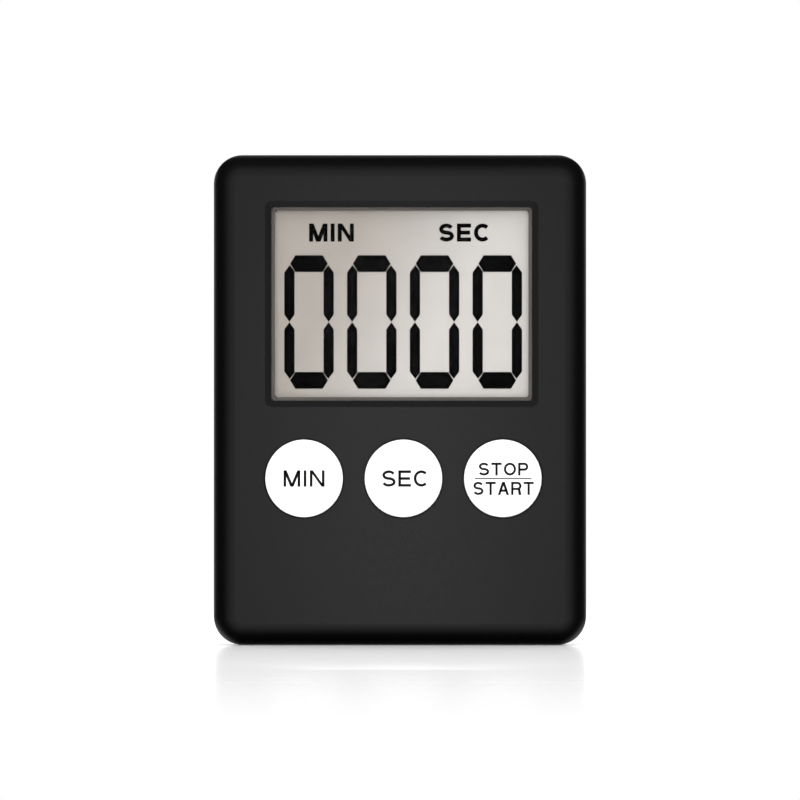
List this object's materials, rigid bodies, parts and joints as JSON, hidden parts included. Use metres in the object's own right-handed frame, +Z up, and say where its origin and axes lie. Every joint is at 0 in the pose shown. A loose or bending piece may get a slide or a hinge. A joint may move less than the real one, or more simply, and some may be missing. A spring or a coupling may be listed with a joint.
{
  "type": "kitchen timer",
  "caption": "Slim upright digital kitchen timer: rounded two-shell case, large display, round push buttons, magnet and coin-turned battery door at the back.",
  "frame": {"origin": "middle of the flat strip along the case's bottom edge, on which it stands, halfway between the back and front faces", "axes": "+Z up the case to its top edge, +X to the right seen from the front, -Y out of the display, +Y out of the magnet"},
  "size_m": [0.065, 0.0105, 0.0855],
  "materials": {
    "case_black": "satin moulded, fine texture",
    "rear_black": "satin moulded, fine texture",
    "lens_clear": "clear polished plastic",
    "tape_grey": "grey-brown double-sided tape",
    "polariser": "pale grey film",
    "lcd_glass": "thin display glass",
    "lcd_seal": "epoxy seal",
    "reflector": "matt reflector film",
    "strip_rubber": "layered conductive rubber",
    "board_green": "solder mask",
    "pad_gold": "plated pads",
    "screw_steel": "zinc plated",
    "button_white": "satin white",
    "dome_rubber": "translucent grey silicone",
    "carbon": "carbon-filled rubber",
    "chip_black": "epoxy blob",
    "crystal_steel": "metal can",
    "coil_ferrite": "ferrite",
    "resistor_black": "coated",
    "capacitor_tan": "ceramic",
    "transistor_black": "moulded",
    "brass_disc": "rolled brass",
    "ceramic_white": "silvered ceramic",
    "wire_red": "insulated wire",
    "solder": "solder",
    "magnet_silver": "nickel plated, brushed",
    "glue": "cured glue",
    "door_black": "satin moulded",
    "cell_steel": "nickel-plated steel",
    "cell_seal": "nylon seal",
    "contact_plated": "plated spring strip"
  },
  "bodies": {
    "case": {"front_case": "case_black", "rear_case": "rear_black", "display_lens": "lens_clear", "lens_tape": "tape_grey", "lcd_front_polariser": "polariser", "lcd_front_glass": "lcd_glass", "lcd_seal": "lcd_seal", "lcd_rear_glass": "lcd_glass", "lcd_reflector": "reflector", "contact_strip": "strip_rubber", "circuit_board": "board_green", "switch_pads": "pad_gold", "board_screws": "screw_steel", "min_dome": "dome_rubber", "sec_dome": "dome_rubber", "start_stop_dome": "dome_rubber", "controller_chip": "chip_black", "crystal": "crystal_steel", "alarm_coil": "coil_ferrite", "resistors": "resistor_black", "capacitors": "capacitor_tan", "transistor": "transistor_black", "piezo_plate": "brass_disc", "piezo_ceramic": "ceramic_white", "piezo_wires": "wire_red", "piezo_solder": "solder", "magnet": "magnet_silver", "magnet_glue": "glue", "battery_can": "cell_steel", "battery_seal": "cell_seal", "battery_cap": "cell_steel", "battery_positive_contact": "contact_plated", "battery_negative_contact": "contact_plated"},
    "min_button": {"min_button": "button_white", "min_contact": "carbon"},
    "sec_button": {"sec_button": "button_white", "sec_contact": "carbon"},
    "start_stop_button": {"start_stop_button": "button_white", "start_stop_contact": "carbon"},
    "battery_door": {"battery_door": "door_black"}
  },
  "joints": [
    {"name": "min_press", "type": "slide", "parent": "case", "child": "min_button", "axis": [0, 1, 0], "range_m": [0, 0.00075], "stiffness_N_per_m": 900, "deforming": ["min_dome"]},
    {"name": "sec_press", "type": "slide", "parent": "case", "child": "sec_button", "axis": [0, 1, 0], "range_m": [0, 0.00075], "stiffness_N_per_m": 900, "deforming": ["sec_dome"]},
    {"name": "start_stop_press", "type": "slide", "parent": "case", "child": "start_stop_button", "axis": [0, 1, 0], "range_m": [0, 0.00075], "stiffness_N_per_m": 900, "deforming": ["start_stop_dome"]},
    {"name": "battery_door_turn", "type": "hinge", "parent": "case", "child": "battery_door", "pos_m": [0, 0.005, 0.01735], "axis": [0, 1, 0], "range_deg": [0, 45]}
  ]
}
